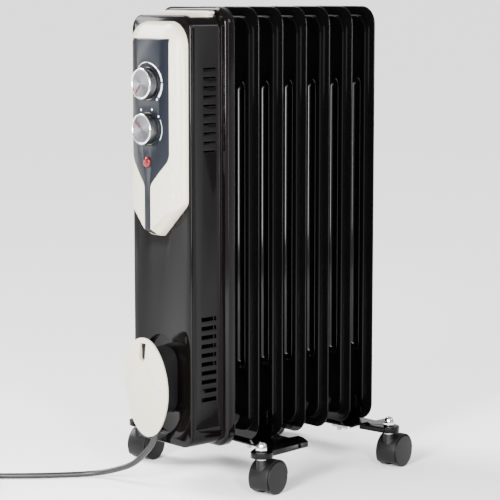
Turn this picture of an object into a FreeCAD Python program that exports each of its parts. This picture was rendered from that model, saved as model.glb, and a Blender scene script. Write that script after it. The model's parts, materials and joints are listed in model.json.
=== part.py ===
import FreeCAD, Part
import math
import os

# Oil filled radiator heater: a stack of pressed steel fins on two castor bars, with a
# control housing on the front end, two rotary controls and a wrap post for the mains lead.
# Millimetres. X is the width, Y runs back along the stack of fins, Z is up, floor at Z = 0.
# Every Y below is measured from the middle plane of the first fin; save() moves the pieces
# so that the origin is at the middle of the footprint.

V = FreeCAD.Vector

# ---- driving dimensions: radiator ---------------------------------------------------
fin_count = 7
fin_width = 130.0
fin_height = 532.0
fin_bottom = 48.0            # lowest point of the fins above the floor
fin_pitch = 38.8
fin_corner_r = 23.0
sheet = 0.8                  # pressed steel sheet
rim_width = 11.4             # flat welded rim round the oil chamber
chamber_depth = 5.6          # how far each half bulges from the middle plane
chamber_draft = 4.0          # how much narrower the chamber is at its flat top
hub_inset = 57.0             # hub axis from the fin's top and bottom edge
hub_base_r = 46.0
hub_neck_r = 21.0
hub_land = 1.6               # straight end of the neck, where two fins are welded
slot_offset = 37.2           # recessed slots each side of the middle channel
slot_width = 14.6
slot_end_inset = 91.0        # slot ends from the fin's top and bottom edge
slot_land_width = 7.0        # width of the slot at its flat bottom
boss_r = 14.0                # boss of the heating element
filler_r = 6.0               # oil filler plug
fin_top = fin_bottom + fin_height

# ---- driving dimensions: control housing --------------------------------------------
housing_width = 111.0
housing_length = 60.0        # first fin to the front face
housing_top = fin_top - 9.5
housing_bottom = 52.3
housing_corner_r = 18.0
housing_wall = 1.8
cover_thickness = 2.4
cover_gap = 0.4              # shadow gap between the front cover and the shell
collar_depth = 11.5
collar_step = 3.0            # rounded shoulder of the collar
side_recess = 1.2            # sunk panel in each side wall
side_recess_y = (-53.0, -16.0)
side_recess_z = (76.0, housing_top - 13.0)
vent_count = 10
vent_pitch = 10.9
upper_vent_top = housing_top - 61.5
upper_vent_y = (-39.0, -20.0)
upper_vent_height = 1.8
lower_vent_top = 211.0
lower_vent_y = (-43.0, -20.0)
lower_vent_height = 4.6
handle_half = 49.0           # handle bar, half its length
handle_bar_y = (-27.0, -17.0)
handle_top = housing_top + 5.0
handle_bar_height = 9.0
cup_y = (-52.0, -15.5)
cup_half = 46.0
cup_depth = 34.0
cup_wall = 1.5
screw_r = 1.4
screw_hole_gap = 0.3
screw_head_r = 2.8
screw_length = 9.0
screw_boss_r = 4.0
tab_y = -45.0                # front face of the tabs that hold the cover screws
tab_thickness = 2.0
screw_places = [(x, z) for z in (76.0, housing_top - 51.5) for x in (-46.0, 46.0)]
window_half = 28.0           # opening in the front cover behind the bezel
window_z = (housing_top - 182.5, housing_top - 58.5)

# ---- driving dimensions: control bezel, panel and knobs -----------------------------
bezel_half = 51.8
bezel_top = housing_top - 7.0
bezel_waist = housing_top - 222.5   # height where the sides turn in
bezel_foot = housing_top - 263.5
bezel_foot_half = 7.0
bezel_top_r = 30.0
bezel_crown = 22.0           # how far its middle stands out from the front face
bezel_shoulder = 16.0        # the same at the panel's edge
bezel_wall = 3.4
bezel_low_share = 0.3        # the wall along the pointed foot is this much steeper
panel_half = 34.5
panel_top = housing_top - 27.5
panel_neck_half = 5.6
panel_gap = 0.25
panel_sink = 0.5
panel_thickness = 1.4
knob_z = (housing_top - 80.5, housing_top - 134.2)   # thermostat above, power selector below
knob_r = 18.6
knob_face = 31.0             # front face of the knobs from the front face of the housing
knob_bottom = 18.2           # back edge of the knobs from the front face of the housing
well_bottom = 16.6           # floor of the wells they sit in
knob_skirt_gap = 1.3
knob_hub_r = 6.0
shaft_r = 3.0
shaft_clearance = 0.05
control_front = -52.0        # front of the thermostat and the selector
bush_r = 5.0
bush_length = 3.0
bracket_thickness = 1.2
bracket_half = 34.0
lamp_z = housing_top - 174.0
lamp_r = 6.2

# ---- driving dimensions: lead wrap and its cover plate -------------------------------
plate_half = 40.4
plate_z = (63.5, 185.2)
plate_back = 20.0            # back of the plate from the front face of the housing
plate_thickness = 3.2
plate_widest = 130.0         # height where the plate is widest
plate_crown = 3.0            # how far its middle stands out from its edge
plate_notch = (11.5, 22.5)    # width and height of the notch near the top
well_margin = 1.5            # the well in the front cover is this much bigger
well_depth = 7.0
well_raise = 0.5             # bottom of the well above the bottom of the plate
post_half = 21.0
post_z = (90.0, 172.0)
post_wall = 2.0
plate_screw_z = (106.0, 156.0)
lead_hole_z = 131.0
gland_r = (7.2, 4.9)         # strain relief, at its root and at its tip
gland_length = 22.0

# ---- driving dimensions: feet and casters --------------------------------------------
foot_sheet = 2.5
foot_bend_x = 72.0           # where the strip ends and the ramp begins
foot_wing_x = 84.0           # where the ramp ends
foot_lift = 5.3              # the ends stand this much higher than the middle
foot_lip = 7.0               # down-turned lip
front_foot_gap = 1           # the clamp is behind the second fin
rear_foot_gap = 5
caster_x = 118.4
front_caster_y = -3.6
rear_caster_offset = -2.8    # rear stems from the rear clamp
lug_r = 13.5
stem_r = 4.0
stem_socket_clearance = 0.05
washer_r = 8.0
washer_thickness = 1.4
nut_flats = 13.0
hood_r = 22.5
hood_top = 43.0
hood_web = 4.1               # half the thickness of the hood's middle web
hood_lip = 1.2               # the wheels stand out of the hood this much
hood_front_z = 7.0           # the hood's front edge above the floor
hood_boss_r = 6.5
hood_clearance = 0.7         # between the wheel's tread and the hood
pintle_r = 2.4
pintle_length = 15.0
stem_collar_r = 6.0
stem_gap = 0.4               # between the hood and the collar above it
nut_thread = 8.0             # the stem reaches this far into the dome nut
nut_hex_height = 6.5
nut_dome_r = 6.0
wheel_r = 20.0
wheel_width = 10.4
wheel_face = 2.6             # closed outer face of each wheel
wheel_gap = 0.4              # between the hood's web and each wheel
axle_r = 3.0
axle_clearance = 0.06
caster_trail = 13.4
caster_turn = 13.0           # degrees the axles are turned from X at rest
clamp_rod_r = 3.0
clamp_half = 25.2            # middle of the U-bolt's legs
clamp_drop = 0.4             # the U-bolt's bend is this much below its neck's middle
clamp_tail = 13.0            # legs below the foot
wing_nut_r = 5.5
wing_nut_height = 7.0

# ---- driving dimensions: mains lead ---------------------------------------------------
lead_d = 7.0
coil_centre = (-155.5, -340.6)
coil_r = (28.0, 49.0)        # inner and outer radius of the coiled length
coil_height = 13.6
plug_axis = (-382.0, 18.0)   # Y and Z of the plug, which lies along X
plug_boot_x = (-141.0, -129.0, -108.0)
plug_body_x = (-108.0, -74.0)
plug_r = 18.0
plug_neck_r = (4.5, 9.0)
plug_pin_r = 2.4
plug_pin_length = 19.0
plug_pin_spacing = 19.0
# Points of the lead, from the gland to the coil, in the saved frame.
LEAD_ROUTE = [(1.5, -149.5, 69.0), (-2.5, -150.5, 55.0), (-13.5, -155.0, 39.5),
              (-29.0, -162.0, 23.5), (-52.0, -169.0, 14.0), (-76.0, -174.5, 6.5),
              (-93.0, -188.5, 3.6), (-106.5, -210.5, 3.5), (-125.0, -238.5, 3.6),
              (-152.0, -271.0, 3.5), (-188.7, -309.7, 3.6)]

# ---- worked out from the sizes above ------------------------------------------------
hub_z = (fin_top - hub_inset, fin_bottom + hub_inset)
front_y = -housing_length
rear_clamp_y = (rear_foot_gap + 0.5) * fin_pitch
front_clamp_y = (front_foot_gap + 0.5) * fin_pitch
rear_caster_y = rear_clamp_y + rear_caster_offset
front_reach = housing_length + knob_face
turn = math.radians(caster_turn)
hood_half = hood_web + wheel_gap + wheel_width - hood_lip
rear_reach = rear_caster_y + (caster_trail + hood_r) * math.cos(turn) + hood_half * math.sin(turn)
stack_shift = (front_reach - rear_reach) / 2
foot_top = fin_bottom
lug_top = foot_top + foot_lift

os.makedirs("parts", exist_ok=True)


def save(name, *shapes, shift=stack_shift):
    """Write one piece, or a group of like pieces, to its STEP file."""
    solids = [s for shape in shapes for s in shape.Solids]
    moved = [s.translated(V(0, shift, 0)) for s in solids]
    shape = moved[0] if len(moved) == 1 else Part.makeCompound(moved)
    assert shape.isValid(), name
    shape.exportStep("parts/" + name + ".step")


# ---- shapes that repeat ---------------------------------------------------------------
def box(x, y, z):
    return Part.makeBox(x[1] - x[0], y[1] - y[0], z[1] - z[0], V(x[0], y[0], z[0]))


def rod(radius, start, end):
    start, end = V(*start), V(*end)
    return Part.makeCylinder(radius, (end - start).Length, start, end - start)


def rounded(points, radii):
    """Closed wire through points in one plane, each corner rounded to its radius."""
    edges, ends = [], []
    for i, (here, r) in enumerate(zip(points, radii)):
        before, after = points[i - 1], points[(i + 1) % len(points)]
        one, two = (before - here).normalize(), (after - here).normalize()
        if r <= 0:
            ends.append((here, here, None))
            continue
        turn = one.getAngle(two)
        reach = r / math.tan(turn / 2)
        middle = (one + two).normalize() * (r / math.sin(turn / 2) - r)
        ends.append((here + one * reach, here + two * reach, here + middle))
    for i, (start, end, middle) in enumerate(ends):
        if middle is not None:
            edges.append(Part.Arc(start, middle, end).toShape())
        following = ends[(i + 1) % len(ends)][0]
        if (following - end).Length > 1e-6:
            edges.append(Part.LineSegment(end, following).toShape())
    return Part.Wire(edges)


def outline(corners, y):
    """Closed wire in the plane at y, from (x, z, corner radius) points."""
    return rounded([V(x, y, z) for x, z, r in corners], [r for x, z, r in corners])


def slab(corners, z):
    """Solid between z[0] and z[1] on an outline in X and Y."""
    wire = rounded([V(x, y, z[0]) for x, y, r in corners], [r for x, y, r in corners])
    return Part.Face(wire).extrude(V(0, 0, z[1] - z[0]))


def grown(corners, by):
    """The corners of a convex outline moved outwards by a distance."""
    middle_u = sum(c[0] for c in corners) / len(corners)
    middle_v = sum(c[1] for c in corners) / len(corners)
    lines = []
    for i, (u, v, r) in enumerate(corners):
        next_u, next_v = corners[(i + 1) % len(corners)][:2]
        length = math.hypot(next_u - u, next_v - v)
        normal = ((next_v - v) / length, -(next_u - u) / length)
        if (u - middle_u) * normal[0] + (v - middle_v) * normal[1] < 0:
            normal = (-normal[0], -normal[1])
        lines.append((normal, u * normal[0] + v * normal[1] + by))
    result = []
    for i, (u, v, r) in enumerate(corners):
        (a, b), p = lines[i - 1]
        (c, d), q = lines[i]
        det = a * d - b * c
        result.append(((p * d - b * q) / det, (a * q - c * p) / det, max(r + by, 0.5) if r else 0))
    return result


def egg(half, low, widest, high, y):
    """Closed egg-shaped wire: a half ellipse above its widest height and one below."""
    edges = []
    for tip in (high, low):
        curve = Part.Ellipse(V(0, y, tip), V(half if tip > widest else -half, y, widest), V(0, y, widest))
        edges.append(Part.ArcOfEllipse(curve, -math.pi / 2, math.pi / 2).toShape())
    return Part.Wire(edges)


def egg_prism(half, low, high, y, widest=None):
    widest = plate_widest if widest is None else widest
    return Part.Face(egg(half, low, widest, high, y[0])).extrude(V(0, y[1] - y[0], 0))


def prism(corners, y):
    """Solid between y[0] and y[1] on an outline in X and Z."""
    return Part.Face(outline(corners, y[0])).extrude(V(0, y[1] - y[0], 0))


def tapered(corners, far_corners, y):
    """Solid between two outlines of the same number of corners."""
    return Part.makeLoft([outline(corners, y[0]), outline(far_corners, y[1])], True, True)


def rectangle(half_width, bottom, top, radius, x=0.0):
    return [(x - half_width, bottom, radius), (x + half_width, bottom, radius),
            (x + half_width, top, radius), (x - half_width, top, radius)]


def revolved(profile, centre):
    """Solid of revolution about an axis along Y; profile is (radius, y) points."""
    points = [V(centre[0] + r, y, centre[1]) for r, y in profile]
    face = Part.Face(Part.makePolygon(points + points[:1]))
    return face.revolve(V(centre[0], 0, centre[1]), V(0, 1, 0), 360)


def fuse(first, *others):
    return first.multiFuse(list(others)).removeSplitter() if others else first


# ---- fins ------------------------------------------------------------------------------
def fin_half(side, thickness, hub_open):
    """One half of a fin's oil space with its hubs; thickness shrinks it to the inside."""
    half = fin_width / 2 - rim_width - thickness
    low = fin_bottom + rim_width + thickness
    high = fin_top - rim_width - thickness
    radius = fin_corner_r - thickness
    depth = chamber_depth - thickness
    d = chamber_draft
    body = tapered(rectangle(half, low, high, radius),
                   rectangle(half - d, low + d, high - d, radius - d), (0, side * depth))
    reach = fin_pitch / 2
    neck_start = depth + 0.62 * (reach - depth)
    hubs = []
    for z in hub_z:
        profile = [(0, 0), (hub_base_r - thickness, 0), (hub_base_r - thickness, side * depth * 0.92)]
        if hub_open:
            profile += [(hub_neck_r + 9 - thickness, side * neck_start),
                        (hub_neck_r + 2 - thickness, side * (reach - hub_land - 2)),
                        (hub_neck_r - thickness, side * (reach - hub_land)),
                        (hub_neck_r - thickness, side * reach), (0, side * reach)]
        else:
            profile += [(hub_neck_r + 6 - thickness, side * (depth + 3.4)), (0, side * (depth + 3.4))]
        hubs.append(revolved(profile, (0, z)))
    slots = []
    for x in (-slot_offset, slot_offset):
        wide, narrow = slot_width / 2 + thickness, slot_land_width / 2 + thickness
        low_end, high_end = fin_bottom + slot_end_inset, fin_top - slot_end_inset
        mouth = rectangle(wide, low_end - thickness, high_end + thickness, wide * 0.98, x)
        floor_outline = rectangle(narrow, low_end + 3, high_end - 3, narrow * 0.98, x)
        slots.append(tapered(floor_outline, mouth, (side * sheet * 1.2, side * (depth + thickness + 0.01))))
    return fuse(body, *hubs).cut(Part.makeCompound(slots))


def fin(index):
    rim = prism(rectangle(fin_width / 2, fin_bottom, fin_top, fin_corner_r), (-sheet, sheet))
    first, last = index == 0, index == fin_count - 1
    outer = [fin_half(-1, 0.0, not first), fin_half(1, 0.0, not last)]
    inner = [fin_half(-1, sheet, not first), fin_half(1, sheet, not last)]
    shape = fuse(rim, *outer).cut(fuse(inner[0], inner[1]))
    if first:
        shape = shape.cut(rod(boss_r, (0, -fin_pitch / 2, hub_z[1]), (0, 0, hub_z[1])))
        shape = shape.cut(rod(filler_r, (0, -fin_pitch / 2, hub_z[0]), (0, 0, hub_z[0])))
    return shape.translated(V(0, index * fin_pitch, 0))


for number in range(fin_count):
    save("fin_%d" % (number + 1), fin(number))

# ---- heating element, its boss and the filler plug -------------------------------------
end_face = -(chamber_depth + 3.4)
element_r = 5.0
element_legs = 8.0
element_end = (fin_count - 1) * fin_pitch - 12.0
legs = [rod(element_r, (x, end_face - 6, hub_z[1]), (x, element_end, hub_z[1]))
        for x in (-element_legs, element_legs)]
bend = rod(element_r, (-element_legs, element_end, hub_z[1]), (element_legs, element_end, hub_z[1]))
caps = [Part.makeSphere(element_r, V(x, element_end, hub_z[1])) for x in (-element_legs, element_legs)]
save("heating_element", fuse(legs[0], legs[1], bend, *caps))

boss = fuse(rod(boss_r, (0, end_face, hub_z[1]), (0, end_face + sheet, hub_z[1])),
            rod(boss_r + 4, (0, end_face - 3.5, hub_z[1]), (0, end_face, hub_z[1])))
boss = boss.cut(Part.makeCompound(legs))
save("element_flange", boss)
filler = fuse(rod(filler_r, (0, end_face - 2.5, hub_z[0]), (0, end_face + sheet, hub_z[0])),
              rod(filler_r + 2.5, (0, end_face - 3, hub_z[0]), (0, end_face, hub_z[0])))
save("oil_filler_plug", filler)


# ---- control housing -------------------------------------------------------------------
def housing_outline(inset=0.0):
    return rectangle(housing_width / 2 - inset, housing_bottom + inset, housing_top - inset,
                     housing_corner_r - inset)


def collar_outline(inset=0.0):
    return rectangle(fin_width / 2 - inset, fin_bottom + inset, fin_top - inset, fin_corner_r - inset)


shell_front = front_y + cover_thickness + cover_gap
collar_back = -sheet
collar_front = collar_back - collar_depth


def housing_body(inset):
    box_part = prism(housing_outline(inset), (shell_front, collar_back))
    shoulder = tapered(collar_outline(inset + collar_step), collar_outline(inset),
                       (collar_front + inset, collar_front + collar_step + inset))
    collar = prism(collar_outline(inset), (collar_front + collar_step + inset, collar_back))
    return fuse(box_part, shoulder, collar)


# The carrying cup is let into the top, and the bar spans it.
cup_outer_half = cup_half + cup_wall
cup_block = box((-cup_outer_half, cup_outer_half), (cup_y[0] - cup_wall, cup_y[1] + cup_wall),
                (housing_top - cup_depth, housing_top + 1))
cup_hollow = box((-cup_half, cup_half), cup_y,
                 (housing_top - cup_depth + cup_wall, housing_top + 2))
inside_top = prism(housing_outline(), (front_y, collar_back))
save("handle_cup", cup_block.cut(cup_hollow).common(inside_top))

grip = prism(rectangle(handle_half, handle_top - handle_bar_height / 2, handle_top, 2.0), handle_bar_y)
web = box((-cup_half, cup_half), handle_bar_y, (handle_top - handle_bar_height,
                                                handle_top - handle_bar_height / 2 + 0.5))
save("handle_bar", fuse(grip, web))

shell = housing_body(0.0).cut(housing_body(housing_wall)).cut(cup_block)
wall_x = housing_width / 2
for side in (-1, 1):
    sunk = sorted((side * (wall_x - side_recess), side * (wall_x + 1)))
    shell = shell.cut(box(sunk, side_recess_y, side_recess_z))
    through = sorted((side * (wall_x - housing_wall - 1), side * (wall_x + 1)))
    slits = []
    for i in range(vent_count):
        drop = i * vent_pitch
        slits.append(box(through, upper_vent_y, (upper_vent_top - drop - upper_vent_height,
                                                 upper_vent_top - drop)))
        slits.append(box(through, lower_vent_y, (lower_vent_top - drop - lower_vent_height,
                                                 lower_vent_top - drop)))
    shell = shell.cut(Part.makeCompound(slits))

# Four tabs on the shell's side walls take the screws that hold the front cover.
tab_x = wall_x - housing_wall
for x, z in screw_places:
    reach = sorted((x - math.copysign(screw_boss_r, x), math.copysign(tab_x + 0.5, x)))
    tab = box(reach, (tab_y, tab_y + tab_thickness), (z - screw_boss_r, z + screw_boss_r))
    hole = rod(screw_r + screw_hole_gap, (x, tab_y - 1, z), (x, tab_y + tab_thickness + 1, z))
    shell = fuse(shell, tab).cut(hole)
save("housing_shell", shell)

# ---- front cover -----------------------------------------------------------------------
cover_back = front_y + cover_thickness
edge = 1.2
cover = fuse(tapered(housing_outline(edge), housing_outline(), (front_y, front_y + edge)),
             prism(housing_outline(), (front_y + edge, cover_back)))
well_half = plate_half + well_margin
well_low, well_high = plate_z[0] + well_raise, plate_z[1] + well_margin
well_floor = front_y + well_depth
well_cup = egg_prism(well_half + housing_wall, well_low - housing_wall, well_high + housing_wall,
                     (front_y + edge, well_floor + housing_wall))
well = egg_prism(well_half, well_low, well_high, (front_y - 1, well_floor))
window = prism(rectangle(window_half, window_z[0], window_z[1], 3.0), (front_y - 1, cover_back + 1))
bosses = [rod(screw_boss_r, (x, cover_back - 0.5, z), (x, tab_y, z)) for x, z in screw_places]
cover = fuse(cover, well_cup, *bosses).cut(fuse(well, window))
for x, z in screw_places:
    cover = cover.cut(rod(screw_r, (x, tab_y - screw_length, z), (x, tab_y + 1, z)))
for z in plate_screw_z:
    cover = cover.cut(rod(screw_r + screw_hole_gap, (0, well_floor - 1, z),
                          (0, well_floor + housing_wall + 1, z)))
lead_hole = rod(lead_d / 2 + 1, (0, well_floor - 1, lead_hole_z),
                (0, well_floor + housing_wall + 1, lead_hole_z))
save("front_cover", cover.cut(lead_hole))

screws = []
for x, z in screw_places:
    head = tab_y + tab_thickness
    screws.append(fuse(rod(screw_r, (x, tab_y - screw_length, z), (x, head, z)),
                       rod(screw_head_r, (x, head, z), (x, head + 1.8, z))))
save("cover_screws", *screws)


# ---- bezel and control panel -------------------------------------------------------------
def bezel_outline(inset, low_inset):
    """The bezel's outline on the cover, moved inwards, with its own distance along the pointed foot."""
    run = math.hypot(bezel_half - bezel_foot_half, bezel_waist - bezel_foot)
    a, b = (bezel_waist - bezel_foot) / run, (bezel_half - bezel_foot_half) / run

    def diagonal(x):
        return bezel_foot + (a * (x - bezel_foot_half) + low_inset) / b

    half = bezel_half - inset
    foot_half = max(bezel_foot_half - low_inset * (1 - b) / a, 0.8)
    foot_z = max(bezel_foot + low_inset, diagonal(foot_half))
    foot_r, waist_r, top_r = max(5.0 - low_inset, 0.3), max(13.0 - inset, 0.5), max(bezel_top_r - inset, 1.0)
    return [(-foot_half, foot_z, foot_r), (foot_half, foot_z, foot_r), (half, diagonal(half), waist_r),
            (half, bezel_top - inset, top_r), (-half, bezel_top - inset, top_r),
            (-half, diagonal(half), waist_r)]


# How far the front of the bezel stands out, from its side edge to its middle.
BEZEL_SECTION = [(bezel_half, 0.0), (49.3, 6.0), (44.5, 10.5), (panel_half, bezel_shoulder)]
# How far the front stands out at a distance in from its outline.
BEZEL_WALL = [(0.0, 0.0), (2.5, 6.0), (7.0, 10.5), (17.0, bezel_shoulder), (27.0, bezel_crown + 0.5)]


def crowned(lower_by):
    """Solid under the bezel's front in cross-section, lowered by a distance."""
    right = [V(x, front_y - max(d - lower_by, 0), bezel_foot - 2) for x, d in BEZEL_SECTION]
    left = [V(-p.x, p.y, p.z) for p in reversed(right)]
    crown = V(0, front_y - bezel_crown + lower_by, bezel_foot - 2)
    edges = [Part.LineSegment(a, b).toShape() for a, b in zip(right, right[1:]) if (a - b).Length > 1e-6]
    edges.append(Part.Arc(right[-1], crown, left[0]).toShape())
    edges += [Part.LineSegment(a, b).toShape() for a, b in zip(left, left[1:]) if (a - b).Length > 1e-6]
    edges.append(Part.LineSegment(left[-1], right[0]).toShape())
    return Part.Face(Part.Wire(edges)).extrude(V(0, 0, bezel_top - bezel_foot + 4))


def sloped(lower_by):
    """Solid inside the bezel's sloping outer wall, in by a distance."""
    pieces = []
    for (near, low), (far, high) in zip(BEZEL_WALL, BEZEL_WALL[1:]):
        pieces.append(tapered(bezel_outline(near + lower_by, bezel_low_share * near + lower_by),
                              bezel_outline(far + lower_by, bezel_low_share * far + lower_by),
                              (front_y - low, front_y - high)))
    return fuse(*pieces)


def under_front(lower_by):
    """Solid under the whole of the bezel's front, lowered by a distance."""
    return crowned(lower_by).common(sloped(lower_by))


neck_z = (bezel_foot + 2.0, bezel_foot + 62.5, bezel_foot + 94.0)   # foot, bend and shoulder
PANEL = [(-panel_neck_half, neck_z[0], 3.0), (panel_neck_half, neck_z[0], 3.0),
         (panel_neck_half, neck_z[1], 14.0), (panel_half, neck_z[2], 18.0), (panel_half, panel_top, 1.5),
         (-panel_half, panel_top, 1.5), (-panel_half, neck_z[2], 18.0), (-panel_neck_half, neck_z[1], 14.0)]
pocket_side = []
for x, z, r in PANEL:
    away = panel_gap if z > knob_z[0] else -panel_gap if z < bezel_waist else 0
    pocket_side.append((x + math.copysign(panel_gap, x), z + away, r))
panel_depth = (front_y - bezel_crown - 2, front_y)
pocket_floor = under_front(panel_sink + panel_thickness)
pocket = prism(pocket_side, panel_depth).cut(pocket_floor)
panel = prism(PANEL, panel_depth).common(under_front(panel_sink)).cut(pocket_floor)
cups = [rod(knob_r + knob_skirt_gap + bezel_wall, (0, front_y - well_bottom + bezel_wall, z),
            (0, front_y - bezel_crown + panel_sink, z)) for z in knob_z]
bezel = fuse(under_front(0.0).cut(under_front(bezel_wall)), *cups).cut(pocket)
for z in knob_z:
    mouth = rod(knob_r + knob_skirt_gap, (0, front_y - bezel_crown - 3, z), (0, front_y - well_bottom, z))
    bezel = bezel.cut(mouth).cut(rod(shaft_r + 1.0, (0, front_y - bezel_crown, z), (0, front_y, z)))
    panel = panel.cut(rod(knob_r + knob_skirt_gap, (0, front_y - bezel_crown - 3, z), (0, front_y, z)))
lamp_hole = rod(lamp_r, (0, front_y - bezel_crown - 3, lamp_z), (0, front_y, lamp_z))
bezel = bezel.cut(lamp_hole)
save("control_bezel", bezel)
save("control_panel", panel.cut(lamp_hole))

lamp_front = front_y - bezel_crown - 1.0
lens = revolved([(0, lamp_front - 1.6), (lamp_r * 0.6, lamp_front - 1.1), (lamp_r, lamp_front),
                 (lamp_r, lamp_front + 7.0), (0, lamp_front + 7.0)], (0, lamp_z))
save("lamp_lens", lens)
holder = fuse(rod(lamp_r - 1.2, (0, lamp_front + 7.0, lamp_z), (0, lamp_front + 16.0, lamp_z)),
              rod(1.0, (-2.5, lamp_front + 16.0, lamp_z), (-2.5, lamp_front + 22.0, lamp_z)),
              rod(1.0, (2.5, lamp_front + 16.0, lamp_z), (2.5, lamp_front + 22.0, lamp_z)))
save("lamp_holder", holder)


# ---- the two controls ---------------------------------------------------------------------
def knob(z):
    face = front_y - knob_face
    base = front_y - knob_bottom
    cap = revolved([(0, face), (knob_r - 0.9, face), (knob_r, face + 0.9), (knob_r, base),
                    (knob_r - 2.2, base), (knob_r - 2.2, face + 3.0), (knob_hub_r, face + 3.0),
                    (knob_hub_r, base), (0, base)], (0, z))
    return cap.cut(rod(shaft_r, (0, face + 3.0, z), (0, base + 1, z)))


def shaft(z):
    return rod(shaft_r, (0, front_y - knob_face + 3.0, z), (0, control_front + 8.0, z))


def bush(z):
    return rod(bush_r, (0, control_front - bush_length, z), (0, control_front, z))


def bored(shape, z):
    """The control's body, bored for its shaft to turn in."""
    return shape.cut(rod(shaft_r + shaft_clearance, (0, control_front - 20, z), (0, control_front + 8.5, z)))


save("thermostat_knob", knob(knob_z[0]))
save("thermostat_shaft", shaft(knob_z[0]))
save("selector_knob", knob(knob_z[1]))
save("selector_shaft", shaft(knob_z[1]))
thermostat = fuse(rod(15.0, (0, control_front, knob_z[0]), (0, control_front + 14.0, knob_z[0])),
                  box((-8, 8), (control_front + 6, control_front + 22), (knob_z[0] - 18, knob_z[0] + 18)),
                  bush(knob_z[0]))
save("thermostat_body", bored(thermostat, knob_z[0]))
selector = fuse(box((-15, 15), (control_front, control_front + 18), (knob_z[1] - 15, knob_z[1] + 15)),
                bush(knob_z[1]))
save("selector_body", bored(selector, knob_z[1]))

bracket_front = control_front - bracket_thickness
bracket = prism(rectangle(bracket_half, knob_z[1] - 48, knob_z[0] + 20, 3.0), (bracket_front, control_front))
for z in knob_z:
    bracket = bracket.cut(rod(bush_r, (0, bracket_front - 1, z), (0, control_front + 1, z)))
for side in (-1, 1):
    foot_x = sorted((side * (window_half + 1.5), side * bracket_half))
    bracket = fuse(bracket, box(foot_x, (cover_back, bracket_front), (knob_z[1] - 20, knob_z[0] + 10)))
save("control_bracket", bracket)

block_z = (knob_z[1] - 78, knob_z[1] - 58)
block = box((-18, 18), (cover_back, cover_back + 14), block_z)
for i in range(4):
    x = -13.5 + i * 9.0
    block = block.cut(rod(2.6, (x, cover_back + 11, sum(block_z) / 2), (x, cover_back + 15, sum(block_z) / 2)))
save("terminal_block", block)
fuse_z = knob_z[1] - 38
fuse_y = control_front + 3.0
save("thermal_fuse", fuse(rod(3.0, (-8, fuse_y, fuse_z), (8, fuse_y, fuse_z)),
                          rod(0.8, (-14, fuse_y, fuse_z), (14, fuse_y, fuse_z))))

# ---- lead wrap ------------------------------------------------------------------------------
post_face = front_y - plate_back
post_mid = sum(post_z) / 2
post = prism(rectangle(post_half, *post_z, post_half - 1), (post_face, well_floor))
hollow = prism(rectangle(post_half - post_wall, post_z[0] + post_wall, post_z[1] - post_wall,
                         post_half - 1 - post_wall), (post_face + post_wall, well_floor))
post = post.cut(hollow)
for z in plate_screw_z:
    post = fuse(post, rod(screw_boss_r, (0, post_face + 0.5, z), (0, well_floor, z)))
plate_front = post_face - plate_thickness
plate = egg_prism(plate_half, *plate_z, (plate_front, post_face))
crown = Part.makeLoft([egg(plate_half - 1.0, plate_z[0] + 1.5, plate_widest, plate_z[1] - 1.5, plate_front),
                       egg(plate_half * 0.55, plate_widest - 40, plate_widest, plate_widest + 33,
                           plate_front - plate_crown)], True, True)
plate = fuse(plate, crown)
notch_z = plate_z[1] - 6.5
notch = [(-plate_notch[0] / 2, notch_z, 1.0), (plate_notch[0] / 2, notch_z, 1.0),
         (plate_notch[0] / 2, notch_z - plate_notch[1] + 4, 1.0), (0, notch_z - plate_notch[1], 0.5),
         (-plate_notch[0] / 2, notch_z - plate_notch[1] + 4, 1.0)]
plate = plate.cut(prism(notch, (plate_front - plate_crown - 1, post_face + 1)))
post_screws = []
for z in plate_screw_z:
    head = well_floor + housing_wall
    blind = rod(screw_r, (0, post_face - 1.6, z), (0, well_floor + 1, z))
    post, plate = post.cut(blind), plate.cut(blind)
    post_screws.append(fuse(rod(screw_r, (0, post_face - 1.6, z), (0, head, z)),
                            rod(screw_head_r, (0, head, z), (0, head + 1.8, z))))
save("cord_plate", plate)
save("cord_plate_screws", *post_screws)

lead_start = V(*LEAD_ROUTE[0]) - V(0, stack_shift, 0)
lead_way = (V(*LEAD_ROUTE[1]) - V(*LEAD_ROUTE[0])).normalize()
gland = Part.makeCone(gland_r[1], gland_r[0], gland_length, lead_start, lead_way.negative())
save("cord_gland", gland.cut(prism(rectangle(post_half, *post_z, post_half - 1), (post_face, well_floor))))
save("cord_post", post)

# ---- wiring: a few soft tubes between the parts of the control box ---------------------------
WIRES = [((-13.5, cover_back + 11, block_z[1]), (-13.5, -44, block_z[1] + 8),
          (-11, control_front + 16, knob_z[1] - 16)),
         ((13.5, cover_back + 11, block_z[1]), (13.5, -42, block_z[1] + 12),
          (11, control_front + 16, knob_z[1] - 16)),
         ((0, control_front + 19, knob_z[1] + 10), (0, control_front + 24, knob_z[0] - 28),
          (0, control_front + 22.9, knob_z[0] - 17)),
         ((-5, cover_back + 11, block_z[0]), (-5, -40, 250), (-element_legs, end_face - 7.3, hub_z[1])),
         ((5, cover_back + 11, block_z[0]), (5, -40, 250), (element_legs, end_face - 7.3, hub_z[1])),
         ((0, cover_back + 7, block_z[0]), (5, -44, 260),
          (4, well_floor + housing_wall + 2, lead_hole_z))]


def wire(points):
    runs = [rod(1.2, a, b) for a, b in zip(points, points[1:])]
    joints = [Part.makeSphere(1.2, V(*q)) for q in points[1:-1]]
    return fuse(*runs, *joints)


save("wiring_loom", *[wire(points).cut(block).cut(thermostat).cut(selector) for points in WIRES])


# ---- feet ------------------------------------------------------------------------------------
def mirrored(shape):
    return shape.mirror(V(0, 0, 0), V(1, 0, 0))


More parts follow.
